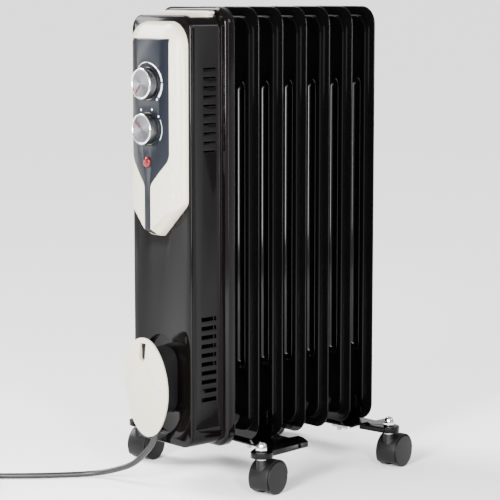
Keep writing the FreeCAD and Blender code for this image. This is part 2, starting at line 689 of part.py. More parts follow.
def foot(middle, strip, wing, stem_y):
    """Bent sheet foot: a flat strip under the fins and a raised, lipped wing at each end."""
    low = foot_top - foot_sheet
    body = slab([(x, y + middle, r) for x, y, r in strip], (low, foot_top))
    rise = [(foot_bend_x, low), (foot_bend_x, foot_top), (foot_wing_x, lug_top),
            (foot_wing_x, lug_top - foot_sheet)]
    ramp_y = wing_root(strip, middle)
    ramp = Part.Face(Part.makePolygon([V(x, ramp_y[0], z) for x, z in rise + rise[:1]]))
    ramp = ramp.extrude(V(0, ramp_y[1] - ramp_y[0], 0))
    corners = [(x, y + middle, r) for x, y, r in wing]
    top = slab(corners, (lug_top - foot_sheet, lug_top))
    skirt = slab(corners, (lug_top - foot_lip, lug_top - foot_sheet))
    inner = grown(corners, -foot_sheet)
    inner = [(x - (2 * foot_sheet if x < foot_wing_x + 3 * foot_sheet else 0), y, r) for x, y, r in inner]
    skirt = skirt.cut(slab(inner, (lug_top - foot_lip - 1, lug_top)))
    lug = rod(lug_r, (caster_x, stem_y, lug_top - foot_lip), (caster_x, stem_y, lug_top))
    lug = lug.cut(rod(lug_r - foot_sheet, (caster_x, stem_y, 0), (caster_x, stem_y, lug_top - foot_sheet)))
    under_lug = rod(lug_r - foot_sheet, (caster_x, stem_y, 0), (caster_x, stem_y, lug_top - foot_sheet))
    half = fuse(ramp, top, skirt.cut(under_lug), lug.cut(slab(inner, (0, lug_top - foot_sheet))))
    half = half.cut(rod(stem_r, (caster_x, stem_y, 0), (caster_x, stem_y, lug_top + 1)))
    shape = fuse(body, half, mirrored(half))
    for side in (-1, 1):
        shape = shape.cut(rod(clamp_rod_r + 0.3, (side * clamp_half, middle, 0), (side * clamp_half, middle, 60)))
    return shape


def wing_root(strip, middle):
    ys = [y for x, y, r in strip if x > 0]
    return (middle + min(ys), middle + max(ys))


# The strips and wings in plan, with Y measured from the clamp's middle.
FRONT_STRIP = [(-foot_bend_x, -29.0, 0), (foot_bend_x, -29.0, 0), (foot_bend_x, 29.5, 0), (-foot_bend_x, 29.5, 0)]
front_lug = front_caster_y - front_clamp_y
FRONT_WING = [(foot_wing_x, -29.0, 0), (caster_x - lug_r, front_lug - 4.0, 0), (caster_x, front_lug, 0),
              (caster_x + lug_r * 0.35, front_lug + lug_r * 0.94, 0), (114.5, 18.0, 5.0), (92.0, 28.5, 4.0),
              (foot_wing_x, 29.5, 0)]
REAR_STRIP = [(-foot_bend_x, -21.5, 0), (-30.0, -26.5, 12.0), (30.0, -26.5, 12.0), (foot_bend_x, -21.5, 0),
              (foot_bend_x, 25.0, 0), (-foot_bend_x, 25.0, 0)]
rear_lug = rear_caster_y - rear_clamp_y
REAR_WING = [(foot_wing_x, -21.5, 0), (caster_x, rear_lug - lug_r, 0), (caster_x, rear_lug + lug_r, 0),
             (foot_wing_x, 25.0, 0)]
save("front_foot", foot(front_clamp_y, FRONT_STRIP, FRONT_WING, front_caster_y))
save("rear_foot", foot(rear_clamp_y, REAR_STRIP, REAR_WING, rear_caster_y))


# ---- U-bolts and wing nuts ---------------------------------------------------------------------
def clamp(y):
    arc_z = hub_z[1] - clamp_drop
    low = foot_top - foot_sheet - clamp_tail
    ends = [V(-clamp_half, y, low), V(-clamp_half, y, arc_z), V(0, y, arc_z + clamp_half),
            V(clamp_half, y, arc_z), V(clamp_half, y, low)]
    path = Part.Wire([Part.LineSegment(ends[0], ends[1]).toShape(), Part.Arc(*ends[1:4]).toShape(),
                      Part.LineSegment(ends[3], ends[4]).toShape()])
    section = Part.Wire(Part.Circle(ends[0], V(0, 0, 1), clamp_rod_r).toShape())
    return path.makePipeShell([section], True, True)


def wing_nut(x, y):
    top = foot_top - foot_sheet
    body = Part.makeCone(wing_nut_r - 1, wing_nut_r, wing_nut_height, V(x, y, top - wing_nut_height))
    wings = box((x - 14, x + 14), (y - 1.2, y + 1.2), (top - 10, top - 2.5))
    return fuse(body, wings).cut(rod(clamp_rod_r, (x, y, 0), (x, y, top + 1)))


clamps, nuts = [], []
for y in (front_clamp_y, rear_clamp_y):
    clamps.append(clamp(y))
    for side in (-1, 1):
        nuts.append(wing_nut(side * clamp_half, y))
save("foot_clamps", *clamps)
save("clamp_wing_nuts", *nuts)

# ---- casters -------------------------------------------------------------------------------------
across = V(math.cos(turn), math.sin(turn), 0)
trailing = V(-math.sin(turn), math.cos(turn), 0)
PLACES = {"front_left": (-caster_x, front_caster_y), "front_right": (caster_x, front_caster_y),
          "rear_left": (-caster_x, rear_caster_y), "rear_right": (caster_x, rear_caster_y)}
washer_z = lug_top - foot_sheet - washer_thickness
stems, washers, dome_nuts = [], [], []


def from_axle(middle, low, high, radius):
    """Cylinder along the axle's direction, between two distances from the caster's middle."""
    return Part.makeCylinder(radius, high - low, middle + across * low, across)


def caster_box(stem, u, v, z):
    """Box in the caster's own directions: u along its axle and v along its trail."""
    shape = box(u, v, z)
    shape.rotate(V(0, 0, 0), V(0, 0, 1), caster_turn)
    return shape.translated(V(stem.x, stem.y, 0))


for place, (x, y) in PLACES.items():
    stem = V(x, y, 0)
    middle = stem + trailing * caster_trail + V(0, 0, wheel_r)
    inner, outer = hood_web + wheel_gap, hood_web + wheel_gap + wheel_width
    hood = from_axle(middle, -hood_half, hood_half, hood_r)
    hood = hood.cut(caster_box(stem, (-30, 30), (caster_trail, 60), (-5, wheel_r + 1)))
    hood = hood.cut(caster_box(stem, (-30, 30), (-30, caster_trail + 0.1), (-5, hood_front_z)))
    hood = fuse(hood, rod(hood_boss_r, (x, y, wheel_r), (x, y, hood_top)),
                from_axle(middle, -hood_web, hood_web, axle_r + 3.5))
    for side in (-1, 1):
        space = sorted((side * hood_web, side * (outer + 5)))
        hood = hood.cut(from_axle(middle, space[0], space[1], wheel_r + hood_clearance))
    socket = rod(pintle_r + stem_socket_clearance, (x, y, hood_top - pintle_length - 0.5), (x, y, hood_top + 1))
    hood = hood.cut(socket).cut(from_axle(middle, -outer, outer, axle_r))
    save(place + "_hood", hood)
    axle_half = outer - wheel_face
    save(place + "_axle", from_axle(middle, -axle_half, axle_half, axle_r))
    for number, side in ((1, -1), (2, 1)):
        reach = sorted((side * inner, side * outer))
        wheel = from_axle(middle, reach[0], reach[1], wheel_r)
        wheel = wheel.makeFillet(1.2, [e for e in wheel.Edges if e.Curve.TypeId == "Part::GeomCircle"])
        bore = sorted((side * (inner - 1), side * (axle_half + 0.3)))
        bore = from_axle(middle, bore[0], bore[1], axle_r + axle_clearance)
        save("%s_wheel_%d" % (place, number), wheel.cut(bore))
    stems.append(fuse(rod(pintle_r, (x, y, hood_top - pintle_length), (x, y, washer_z)),
                      rod(stem_collar_r, (x, y, hood_top + stem_gap), (x, y, hood_top + stem_gap + 1.6)),
                      rod(stem_r, (x, y, hood_top + stem_gap), (x, y, lug_top + nut_thread))))
    washers.append(rod(washer_r, (x, y, washer_z), (x, y, washer_z + washer_thickness))
                   .cut(rod(stem_r, (x, y, 0), (x, y, 60))))
    hexagon = [V(x + nut_flats / math.sqrt(3) * math.cos(math.radians(60 * i + 10)),
                 y + nut_flats / math.sqrt(3) * math.sin(math.radians(60 * i + 10)), lug_top) for i in range(6)]
    hexagon = Part.Face(Part.makePolygon(hexagon + hexagon[:1])).extrude(V(0, 0, nut_hex_height))
    dome = Part.makeSphere(nut_dome_r, V(x, y, lug_top + nut_hex_height - 0.2))
    dome_nuts.append(fuse(hexagon, dome.common(rod(nut_dome_r + 1, (x, y, lug_top), (x, y, lug_top + 30))))
                     .cut(rod(stem_r, (x, y, 0), (x, y, lug_top + nut_thread))))
save("caster_stems", *stems)
save("caster_washers", *washers)
save("caster_dome_nuts", *dome_nuts)


# ---- mains lead ---------------------------------------------------------------------------------
def tube(route, diameter):
    """Tube of straight runs joined by tangent arcs; prints each arc's radius."""
    points = [V(*q) for q in route]
    edges, start, radii = [], points[0], []
    for before, here, after in zip(points, points[1:], points[2:]):
        one, two = (before - here), (after - here)
        bend = math.pi - one.getAngle(two)
        reach = 0.45 * min(one.Length, two.Length)
        radius = reach / math.tan(bend / 2)
        radii.append(round(radius, 1))
        one, two = one.normalize(), two.normalize()
        corner = (one + two).normalize() * (radius / math.cos(bend / 2) - radius)
        edges.append(Part.LineSegment(start, here + one * reach).toShape())
        edges.append(Part.Arc(here + one * reach, here + corner, here + two * reach).toShape())
        start = here + two * reach
    edges.append(Part.LineSegment(start, points[-1]).toShape())
    path = Part.Wire(edges)
    section = Part.Wire(Part.Circle(points[0], points[1] - points[0], diameter / 2).toShape())
    shape = path.makePipeShell([section], True, True)
    expected = math.pi * diameter ** 2 / 4 * path.Length
    print("lead: radii %s mm, length %.1f mm, volume ratio %.4f" % (radii, path.Length, shape.Volume / expected))
    return shape


save("power_cord", tube(LEAD_ROUTE, lead_d), shift=0)
x, y = coil_centre
ring = Part.makeCylinder(coil_r[1], coil_height, V(x, y, 0)).cut(Part.makeCylinder(coil_r[0], coil_height, V(x, y, 0)))
save("cord_coil", ring.makeFillet(2.5, ring.Edges), shift=0)

y, z = plug_axis
along = V(1, 0, 0)
neck = Part.makeCylinder(plug_neck_r[0], plug_boot_x[1] - plug_boot_x[0], V(plug_boot_x[0], y, z), along)
boot = Part.makeCone(*plug_neck_r, plug_boot_x[2] - plug_boot_x[1], V(plug_boot_x[1], y, z), along)
head = Part.makeCylinder(plug_r, plug_body_x[1] - plug_body_x[0], V(plug_body_x[0], y, z), along)
head = head.makeFillet(3.0, [e for e in head.Edges if e.Curve.TypeId == "Part::GeomCircle"])
pins = [Part.makeCylinder(plug_pin_r, plug_pin_length + 8, V(plug_body_x[1] - 8, y + side * plug_pin_spacing / 2, z), along)
        for side in (-1, 1)]
save("plug_body", fuse(neck, boot, head).cut(Part.makeCompound(pins)), shift=0)
save("plug_pins", *pins, shift=0)
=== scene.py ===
import json
import math

import bmesh
import bpy
from mathutils import Euler, Matrix, Vector

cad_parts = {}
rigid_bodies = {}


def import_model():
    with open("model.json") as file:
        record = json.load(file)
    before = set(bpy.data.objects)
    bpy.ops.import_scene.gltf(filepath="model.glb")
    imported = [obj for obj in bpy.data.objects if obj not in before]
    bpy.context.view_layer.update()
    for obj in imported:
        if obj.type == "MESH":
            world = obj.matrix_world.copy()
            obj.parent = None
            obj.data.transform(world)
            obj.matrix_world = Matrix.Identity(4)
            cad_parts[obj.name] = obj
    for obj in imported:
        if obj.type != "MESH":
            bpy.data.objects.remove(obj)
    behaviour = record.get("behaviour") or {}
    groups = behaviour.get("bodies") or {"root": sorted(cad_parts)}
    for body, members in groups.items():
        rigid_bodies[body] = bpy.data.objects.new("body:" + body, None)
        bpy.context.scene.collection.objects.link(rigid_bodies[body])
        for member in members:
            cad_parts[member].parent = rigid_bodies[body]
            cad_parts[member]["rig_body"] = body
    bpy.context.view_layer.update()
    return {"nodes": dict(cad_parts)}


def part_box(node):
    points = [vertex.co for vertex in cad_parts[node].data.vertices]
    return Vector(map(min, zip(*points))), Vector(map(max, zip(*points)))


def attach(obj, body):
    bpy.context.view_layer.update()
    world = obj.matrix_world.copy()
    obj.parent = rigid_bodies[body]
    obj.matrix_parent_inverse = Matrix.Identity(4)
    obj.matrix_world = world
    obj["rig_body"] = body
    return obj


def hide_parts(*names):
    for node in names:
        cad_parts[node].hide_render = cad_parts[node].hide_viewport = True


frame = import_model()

bl_info = {
    "name": "Oil Filled Radiator Heater",
    "version": (1, 0, 0),
    "blender": (4, 5, 0),
    "location": "View3D > Sidebar > Radiator",
    "description": "Makes the pressed fins, control box, lead and casters of an oil filled radiator",
    "category": "Object",
}

MM = 0.001

# ---- places, from the frame -----------------------------------------------------------
FIN_COUNT = 7
FIN_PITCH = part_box("fin_3")[0].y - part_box("fin_2")[0].y
FIN_LOW, FIN_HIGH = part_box("fin_2")
FIRST_FIN_Y = (FIN_LOW.y + FIN_HIGH.y) / 2 - FIN_PITCH
FIN_HALF_X = FIN_HIGH.x
FIN_MID_Z = (FIN_LOW.z + FIN_HIGH.z) / 2
FIN_HALF_Z = (FIN_HIGH.z - FIN_LOW.z) / 2
FRONT_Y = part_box("front_cover")[0].y
KNOB_Z = {name: sum(c.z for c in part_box(name + "_knob")) / 2 for name in ("thermostat", "selector")}
KNOB_FACE_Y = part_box("thermostat_knob")[0].y
LAMP_Z = sum(c.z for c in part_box("lamp_lens")) / 2
PLATE_BACK_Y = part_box("cord_post")[0].y
CASTERS = ("front_left", "front_right", "rear_left", "rear_right")


# ---- sizes and colours that a user would change ----------------------------------------
def length(name, description, millimetres):
    return bpy.props.FloatProperty(name=name, description=description, default=millimetres * MM,
                                   subtype="DISTANCE", unit="LENGTH")


def colour(name, description, code):
    return bpy.props.StringProperty(name=name, description=description + ", sRGB hex", default=code)


class RadiatorFinSizes(bpy.types.PropertyGroup):
    """Pressed relief of the fins"""
    rim: length("Rim width", "Flat welded rim round the oil chamber", 11.4)
    corner: length("Corner radius", "Radius of a fin's four corners", 23.0)
    chamber_corner: length("Chamber corner", "Radius of the oil chamber's corners", 19.0)
    chamber: length("Chamber depth", "Half depth of the oil chamber", 5.6)
    step: length("Step width", "Width of the sloping step at the chamber's edge", 1.3)
    sheet: length("Sheet", "Thickness of one pressed sheet", 0.8)
    slot_x: length("Slot offset", "Slot's middle from the fin's middle", 37.2)
    slot_half: length("Slot half width", "Half the width of a slot at its mouth", 7.2)
    slot_end: length("Slot end", "Slot end from the fin's top or bottom edge", 91.0)
    hub_inset: length("Hub inset", "Hub's middle from the fin's top or bottom edge", 57.0)
    hub_base: length("Hub base radius", "Radius of the hub's dome at the chamber", 47.0)
    hub_land: length("Hub land radius", "Radius of the flat land where hubs are welded", 21.0)
    hub_closed: length("Closed hub", "How far a closed end hub stands out", 3.4)


class RadiatorBezelSizes(bpy.types.PropertyGroup):
    """Shape of the bezel and its panel"""
    crown: length("Crown", "How far the middle stands out from the cover", 22.0)
    shoulder: length("Shoulder", "How far the panel's side edges stand out", 16.0)
    sink: length("Panel sink", "How far the panel lies under the bezel's surface", 0.5)
    wall: length("Wall", "Thickness of the bezel's moulding", 2.0)
    dimple: length("Dimple", "Depth of the quilted dimples on the lower fields", 0.8)
    dimple_x: length("Dimple pitch across", "Distance between dimples across", 11.6)
    dimple_z: length("Dimple pitch up", "Distance between dimples up", 9.5)


class RadiatorLeadSizes(bpy.types.PropertyGroup):
    """Mains lead"""
    diameter: length("Diameter", "Outer diameter of the lead", 7.0)


class RadiatorColours(bpy.types.PropertyGroup):
    """Colours of the finishes"""
    enamel: colour("Enamel", "Baked black enamel on the fins and feet", "#040404")
    shell: colour("Shell", "Gloss black shell of the control box", "#050404")
    cream: colour("Cream", "Moulded cream plastic", "#b9b4a2")
    slate: colour("Slate", "Satin blue-grey control panel", "#0c1017")
    print_white: colour("Print", "White printed marks", "#eef1f6")
    pointer: colour("Pointer", "Red pointer on the knobs", "#4a0508")
    lens: colour("Lens", "Red lamp lens", "#5a0206")
    caster: colour("Caster", "Moulded black nylon", "#070707")
    rubber: colour("Rubber", "Dark grey lead", "#111113")
    floor: colour("Floor", "Pale studio floor", "#ffffff")


# ---- materials ---------------------------------------------------------------------------
def linear(code):
    """Linear RGBA of an sRGB hex colour."""
    values = [int(code[i:i + 2], 16) / 255 for i in (1, 3, 5)]
    return [v / 12.92 if v <= 0.04045 else ((v + 0.055) / 1.055) ** 2.4 for v in values] + [1.0]


def add(tree, kind, links=(), **settings):
    """Adds a node. Settings are its own values, or its inputs' values with spaces as underscores."""
    node = tree.nodes.new(kind)
    for name, value in settings.items():
        socket = node.inputs.get(name.replace("_", " "))
        if socket is None:
            setattr(node, name, value)
        else:
            socket.default_value = value
    for output, socket in links:
        tree.links.new(output, node.inputs[socket])
    return node


def material(name, base, **settings):
    """A principled material and its shader; settings are the shader's own sockets."""
    made = bpy.data.materials.new(name)
    made.use_nodes = True
    tree = made.node_tree
    shader = tree.nodes["Principled BSDF"]
    shader.inputs["Base Color"].default_value = linear(base)
    for key, value in settings.items():
        shader.inputs[key.replace("_", " ")].default_value = value
    return made, tree, shader


def bump(tree, shader, height, strength, distance):
    node = add(tree, "ShaderNodeBump", [(height, "Height")], Strength=strength, Distance=distance)
    tree.links.new(node.outputs["Normal"], shader.inputs["Normal"])


def grain(tree, size, detail=2.0):
    """Noise of a real size in metres, on Object coordinates."""
    where = add(tree, "ShaderNodeTexCoord")
    return add(tree, "ShaderNodeTexNoise", [(where.outputs["Object"], "Vector")],
               Scale=1.0 / size, Detail=detail, Roughness=0.5)


def varied_roughness(tree, shader, noise, low, high):
    spread = add(tree, "ShaderNodeMapRange", [(noise.outputs["Fac"], "Value")], To_Min=low, To_Max=high)
    tree.links.new(spread.outputs["Result"], shader.inputs["Roughness"])


def baked_enamel(colours):
    """Black enamel baked on pressed steel: wet-looking gloss with a faint orange peel."""
    made, tree, shader = material("baked_black_enamel", colours.enamel, Roughness=0.1,
                                  IOR=1.5, Specular_IOR_Level=0.12)
    peel = grain(tree, 9 * MM, 1.0)
    bump(tree, shader, peel.outputs["Fac"], 0.035, 0.4 * MM)
    varied_roughness(tree, shader, grain(tree, 60 * MM), 0.05, 0.09)
    return made


def gloss_shell(colours):
    """Gloss black shell: painted sheet, a little softer than the enamel."""
    made, tree, shader = material("gloss_black_shell", colours.shell, Roughness=0.12,
                                  IOR=1.5, Specular_IOR_Level=0.12)
    peel = grain(tree, 14 * MM, 1.0)
    bump(tree, shader, peel.outputs["Fac"], 0.03, 0.4 * MM)
    varied_roughness(tree, shader, grain(tree, 80 * MM), 0.06, 0.1)
    return made


def cream_abs(colours):
    """Moulded cream ABS: even colour, semi-gloss, very faint flow variation."""
    made, tree, shader = material("cream_abs", colours.cream, Roughness=0.3, IOR=1.5,
                                  Specular_IOR_Level=0.5)
    flow = grain(tree, 70 * MM)
    deeper = [c * 0.93 for c in linear(colours.cream)[:3]] + [1.0]
    tint = add(tree, "ShaderNodeMix", [(flow.outputs["Fac"], "Factor")], data_type="RGBA")
    colour_a, colour_b, colour_out = tint.inputs[6], tint.inputs[7], tint.outputs[2]
    colour_a.default_value, colour_b.default_value = linear(colours.cream), deeper
    tree.links.new(colour_out, shader.inputs["Base Color"])
    bump(tree, shader, grain(tree, 1.6 * MM).outputs["Fac"], 0.05, 0.1 * MM)
    return made


def slate_panel(colours):
    """Satin printed polycarbonate panel with a fine grain."""
    made, tree, shader = material("slate_polycarbonate", colours.slate, Roughness=0.3, IOR=1.5,
                                  Specular_IOR_Level=0.18)
    bump(tree, shader, grain(tree, 1.2 * MM).outputs["Fac"], 0.08, 0.1 * MM)
    return made


def white_print(colours):
    """White screen-printed ink."""
    made, tree, shader = material("white_ink", colours.print_white, Roughness=0.5)
    varied_roughness(tree, shader, grain(tree, 2 * MM), 0.4, 0.6)
    return made


def pointer_red(colours):
    """Red paint in the knob's pointer groove."""
    made, tree, shader = material("pointer_paint", colours.pointer, Roughness=0.35)
    varied_roughness(tree, shader, grain(tree, 2 * MM), 0.3, 0.45)
    return made


def turned_aluminium():
    """Turned aluminium with stretched highlights. Their tangent turns about the object's origin, so
    over a knob, which is far from it, it runs nearly straight across."""
    made, tree, shader = material("turned_aluminium", "#6c6c6f", Metallic=1.0, Roughness=0.3,
                                  Anisotropic=0.85)
    around = add(tree, "ShaderNodeTangent", direction_type="RADIAL", axis="Y")
    tree.links.new(around.outputs["Tangent"], shader.inputs["Tangent"])
    varied_roughness(tree, shader, grain(tree, 3 * MM), 0.26, 0.36)
    return made


def bright_rim():
    """Diamond-cut aluminium edge: nearly a mirror."""
    made, tree, shader = material("diamond_cut_aluminium", "#e6e6e8", Metallic=1.0, Roughness=0.12)
    varied_roughness(tree, shader, grain(tree, 3 * MM), 0.1, 0.18)
    return made


def bright_chrome():
    """Chrome plate: sharp dark and light reflections."""
    made, tree, shader = material("chrome_plate", "#dcdde0", Metallic=1.0, Roughness=0.06)
    varied_roughness(tree, shader, grain(tree, 6 * MM), 0.05, 0.1)
    return made


def zinc_steel():
    """Zinc-plated steel: cool grey with a cloudy sheen."""
    made, tree, shader = material("zinc_plated_steel", "#a8aaad", Metallic=1.0, Roughness=0.32)
    varied_roughness(tree, shader, grain(tree, 5 * MM), 0.25, 0.42)
    return made


def red_lens(colours):
    """Red acrylic over a lamp that is off, with small cells pressed in its surface."""
    made, tree, shader = material("red_acrylic", colours.lens, Roughness=0.12, IOR=1.49,
                                  Specular_IOR_Level=0.5)
    where = add(tree, "ShaderNodeTexCoord")
    cells = add(tree, "ShaderNodeTexVoronoi", [(where.outputs["Object"], "Vector")], Scale=1 / (1.6 * MM))
    bump(tree, shader, cells.outputs["Distance"], 0.25, 0.3 * MM)
    return made


def satin_black(name, code, roughness):
    """Satin black with a fine grain: moulded nylon or phenolic, or blackened steel."""
    made, tree, shader = material(name, code, Roughness=roughness, IOR=1.5, Specular_IOR_Level=0.22)
    bump(tree, shader, grain(tree, 0.9 * MM, 4.0).outputs["Fac"], 0.25, 0.12 * MM)
    return made


def lead_rubber(colours):
    """PVC lead sheath: satin, with a fine even grain."""
    made, tree, shader = material("pvc_sheath", colours.rubber, Roughness=0.42, IOR=1.5,
                                  Specular_IOR_Level=0.5)
    bump(tree, shader, grain(tree, 1.5 * MM, 3.0).outputs["Fac"], 0.12, 0.1 * MM)
    return made


def dark_steel():
    """Heat-browned steel sheath of a heating element."""
    made, tree, shader = material("element_steel", "#5b5650", Metallic=1.0, Roughness=0.45)
    varied_roughness(tree, shader, grain(tree, 8 * MM), 0.35, 0.55)
    return made


def wire_colour():
    """Silicone wire insulation."""
    made, tree, shader = material("silicone_insulation", "#7d3423", Roughness=0.5)
    varied_roughness(tree, shader, grain(tree, 4 * MM), 0.4, 0.6)
    return made


def pale_floor(colours):
    """Matt paper sweep."""
    made, tree, shader = material("paper_sweep", colours.floor, Roughness=0.9, Specular_IOR_Level=0.1)
    varied_roughness(tree, shader, grain(tree, 40 * MM), 0.85, 0.95)
    return made


FINISHES = {}


def finish(name):
    """The material of that name, made once."""
    if not FINISHES:
        colours = bpy.context.scene.radiator_colours
        FINISHES.update({
            "enamel": baked_enamel(colours), "shell": gloss_shell(colours), "cream": cream_abs(colours),
            "slate": slate_panel(colours), "print": white_print(colours), "pointer": pointer_red(colours),
            "turned": turned_aluminium(), "rim": bright_rim(), "chrome": bright_chrome(),
            "zinc": zinc_steel(), "lens": red_lens(colours),
            "blackened": satin_black("blackened_steel", "#0c0c0c", 0.4),
            "caster": satin_black("caster_nylon", colours.caster, 0.45),
            "wheel": satin_black("wheel_nylon", colours.caster, 0.5),
            "plastic": satin_black("black_phenolic", "#141414", 0.4),
            "rubber": lead_rubber(colours), "element": dark_steel(), "wire": wire_colour(),
            "floor": pale_floor(colours)})
    return FINISHES[name]


# ---- making pieces --------------------------------------------------------------------------
def piece(name, bm, *finishes, smooth=40.0):
    """A mesh object from a bmesh, shaded smooth except at edges sharper than the angle."""
    mesh = bpy.data.meshes.new(name)
    bm.to_mesh(mesh)
    bm.free()
    for made in finishes:
        mesh.materials.append(finish(made))
    mesh.shade_smooth()
    mesh.set_sharp_from_angle(angle=math.radians(smooth))
    obj = bpy.data.objects.new(name, mesh)
    bpy.context.scene.collection.objects.link(obj)
    return obj


def place(obj, body, slot, *nodes):
    """The piece rides on a body and stands for CAD nodes. Its slot is not used."""
    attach(obj, body)
    if nodes:
        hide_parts(*nodes)
    return obj


def smoothstep(t):
    t = min(max(t, 0.0), 1.0)
    return t * t * (3 - 2 * t)


def inside_rectangle(x, z, half_x, half_z, radius):
    """How far a point is inside a rounded rectangle; negative outside."""
    qx, qz = abs(x) - half_x + radius, abs(z) - half_z + radius
    outside = math.hypot(max(qx, 0), max(qz, 0))
    return radius - outside - min(max(qx, qz), 0)


# ---- fins --------------------------------------------------------------------------------------
def fin_height(x, z, sizes, closed):
    """Half thickness of a fin at a point, with z from the fin's middle."""
    inside = inside_rectangle(x, z, FIN_HALF_X - sizes.rim, FIN_HALF_Z - sizes.rim, sizes.chamber_corner)
    height = sizes.sheet + (sizes.chamber - sizes.sheet) * smoothstep(inside / sizes.step)
    slot_end = FIN_HALF_Z - sizes.slot_end - sizes.slot_half
    beyond = max(abs(z) - slot_end, 0)
    in_slot = sizes.slot_half - math.hypot(abs(x) - sizes.slot_x, beyond)
    height += (1.6 * sizes.sheet - height) * smoothstep(in_slot / (2.6 * MM))
    radius = math.hypot(x, abs(z) - FIN_HALF_Z + sizes.hub_inset)
    if radius < sizes.hub_base and inside > 0:
        t = min((sizes.hub_base - radius) / (sizes.hub_base - sizes.hub_land), 1.0)
        reach = sizes.hub_closed if closed else FIN_PITCH / 2 - sizes.chamber - 0.05 * MM
        swell = 0.35 * smoothstep(t) + 0.65 * math.sin(t * math.pi / 2)
        height = max(height, sizes.chamber + reach * swell * smoothstep(inside / (3.0 * MM)))
    return height


RINGS = [d * MM for d in (0, 0.6, 3, 6, 9, 10.8, 11.2, 11.5, 11.8, 12.1, 12.4, 12.7, 13.2, 14.4)]


def fin_lines(half, count):
    """Places of the grid lines across a half: close at the chamber's step, even further in."""
    inner = half - RINGS[-1]
    places = [inner * i / count for i in range(count)] + [half - d for d in reversed(RINGS)]
    return [-place for place in reversed(places[1:])] + places


def rounded_ring(x, z, sizes):
    """Moves a point of the square grid onto the rounded ring at its distance from the outline."""
    inset = min(FIN_HALF_X - abs(x), FIN_HALF_Z - abs(z))
    tighten = (sizes.corner - sizes.chamber_corner) / sizes.rim
    radius = max(sizes.corner - tighten * min(inset, sizes.rim) - max(inset - sizes.rim, 0), 0)
    a, b = abs(x) - FIN_HALF_X + inset + radius, abs(z) - FIN_HALF_Z + inset + radius
    if a > 0 and b > 0:
        pull = radius / math.hypot(a, b)
        x = math.copysign(FIN_HALF_X - inset - radius + a * pull, x)
        z = math.copysign(FIN_HALF_Z - inset - radius + b * pull, z)
    return x, z


def fin_mesh(closed_front, closed_back):
    """Both pressed sheets of a fin at the origin, closed along the outline."""
    sizes = bpy.context.scene.radiator_fin_sizes
    bm = bmesh.new()
    lines_x, lines_z = fin_lines(FIN_HALF_X, 36), fin_lines(FIN_HALF_Z, 92)
    across, up = len(lines_x) - 1, len(lines_z) - 1
    bmesh.ops.create_grid(bm, x_segments=across, y_segments=up, size=1.0)
    for vert in bm.verts:
        x = lines_x[round((vert.co.x + 1) / 2 * across)]
        z = lines_z[round((vert.co.y + 1) / 2 * up)]
        x, z = rounded_ring(x, z, sizes)
        vert.co = Vector((x, 0, z))
    other = bmesh.ops.duplicate(bm, geom=bm.verts[:] + bm.edges[:] + bm.faces[:])["geom"]
    back_verts = {v for v in other if isinstance(v, bmesh.types.BMVert)}
    for vert in bm.verts:
        back = vert in back_verts
        height = fin_height(vert.co.x, vert.co.z, sizes, closed_back if back else closed_front)
        vert.co.y = height if back else -height
    border = [e for e in bm.edges if e.is_boundary]
    bmesh.ops.bridge_loops(bm, edges=border)
    bmesh.ops.recalc_face_normals(bm, faces=bm.faces)
    bmesh.ops.bevel(bm, geom=border, offset=0.7 * MM, segments=3, profile=0.5, affect="EDGES", material=-1)
    for vert in bm.verts:
        vert.co.z += FIN_MID_Z
    return bm


class RADIATOR_OT_fins(bpy.types.Operator):
    """Press the seven fins, welded at their hubs"""
    bl_idname = "radiator.fins"
    bl_label = "Fins"

    def execute(self, context):
        for number in range(1, FIN_COUNT + 1):
            bm = fin_mesh(number == 1, number == FIN_COUNT)
            bmesh.ops.translate(bm, verts=bm.verts, vec=(0, FIRST_FIN_Y + (number - 1) * FIN_PITCH, 0))
            node = "fin_%d" % number
            place(piece("pressed_" + node, bm, "enamel", smooth=50), "root", "black_enamel", node)
        return {"FINISHED"}


# ---- pieces that keep the shape of their CAD node ----------------------------------------------
def merged(node, flat=0.6):
    """A copy of a CAD node's mesh with its triangles joined into whole faces."""
    bm = bmesh.new()
    bm.from_mesh(frame["nodes"][node].data)
    bmesh.ops.remove_doubles(bm, verts=bm.verts, dist=0.003 * MM)
    bmesh.ops.dissolve_limit(bm, angle_limit=math.radians(flat), verts=bm.verts, edges=bm.edges)
    bmesh.ops.recalc_face_normals(bm, faces=bm.faces)
    return bm


def soften(bm, radius, segments=2, angle=35.0):
    """Rounds every edge sharper than the angle."""
    sharp = [e for e in bm.edges if len(e.link_faces) == 2 and e.calc_face_angle(0) > math.radians(angle)]
    bmesh.ops.bevel(bm, geom=sharp, offset=radius, segments=segments, profile=0.5, affect="EDGES",
                    material=-1, clamp_overlap=False)
    return bm


def softened(node, made, slot, radius, segments=2, angle=35.0, smooth=35.0):
    """A CAD node with its edges rounded, riding on the node's own body."""
    obj = piece("finished_" + node, soften(merged(node), radius, segments, angle), made, smooth=smooth)
    return place(obj, frame["nodes"][node]["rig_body"], slot, node)


def sliced(bm, axis, start, stop, step):
    """Cuts a mesh along evenly spaced planes, so that a pattern can be pressed into it."""
    count = int(round((stop - start) / step))
    for i in range(count + 1):
        where, normal = Vector((0, 0, 0)), Vector((0, 0, 0))
        where[axis], normal[axis] = start + i * step, 1
        bmesh.ops.bisect_plane(bm, geom=bm.verts[:] + bm.edges[:] + bm.faces[:], dist=1e-6,
                               plane_co=where, plane_no=normal)


class RADIATOR_OT_housing(bpy.types.Operator):
    """Finish the shell, front cover, handle cup and handle bar of the control box"""
    bl_idname = "radiator.housing"
    bl_label = "Control box"

    def execute(self, context):
        softened("housing_shell", "shell", "black_gloss_shell", 0.35 * MM)
        softened("front_cover", "shell", "black_gloss_shell", 0.8 * MM, 3)
        softened("handle_cup", "plastic", "black_plastic", 0.4 * MM)
        softened("handle_bar", "cream", "cream_plastic", 1.2 * MM, 3)
        return {"FINISHED"}


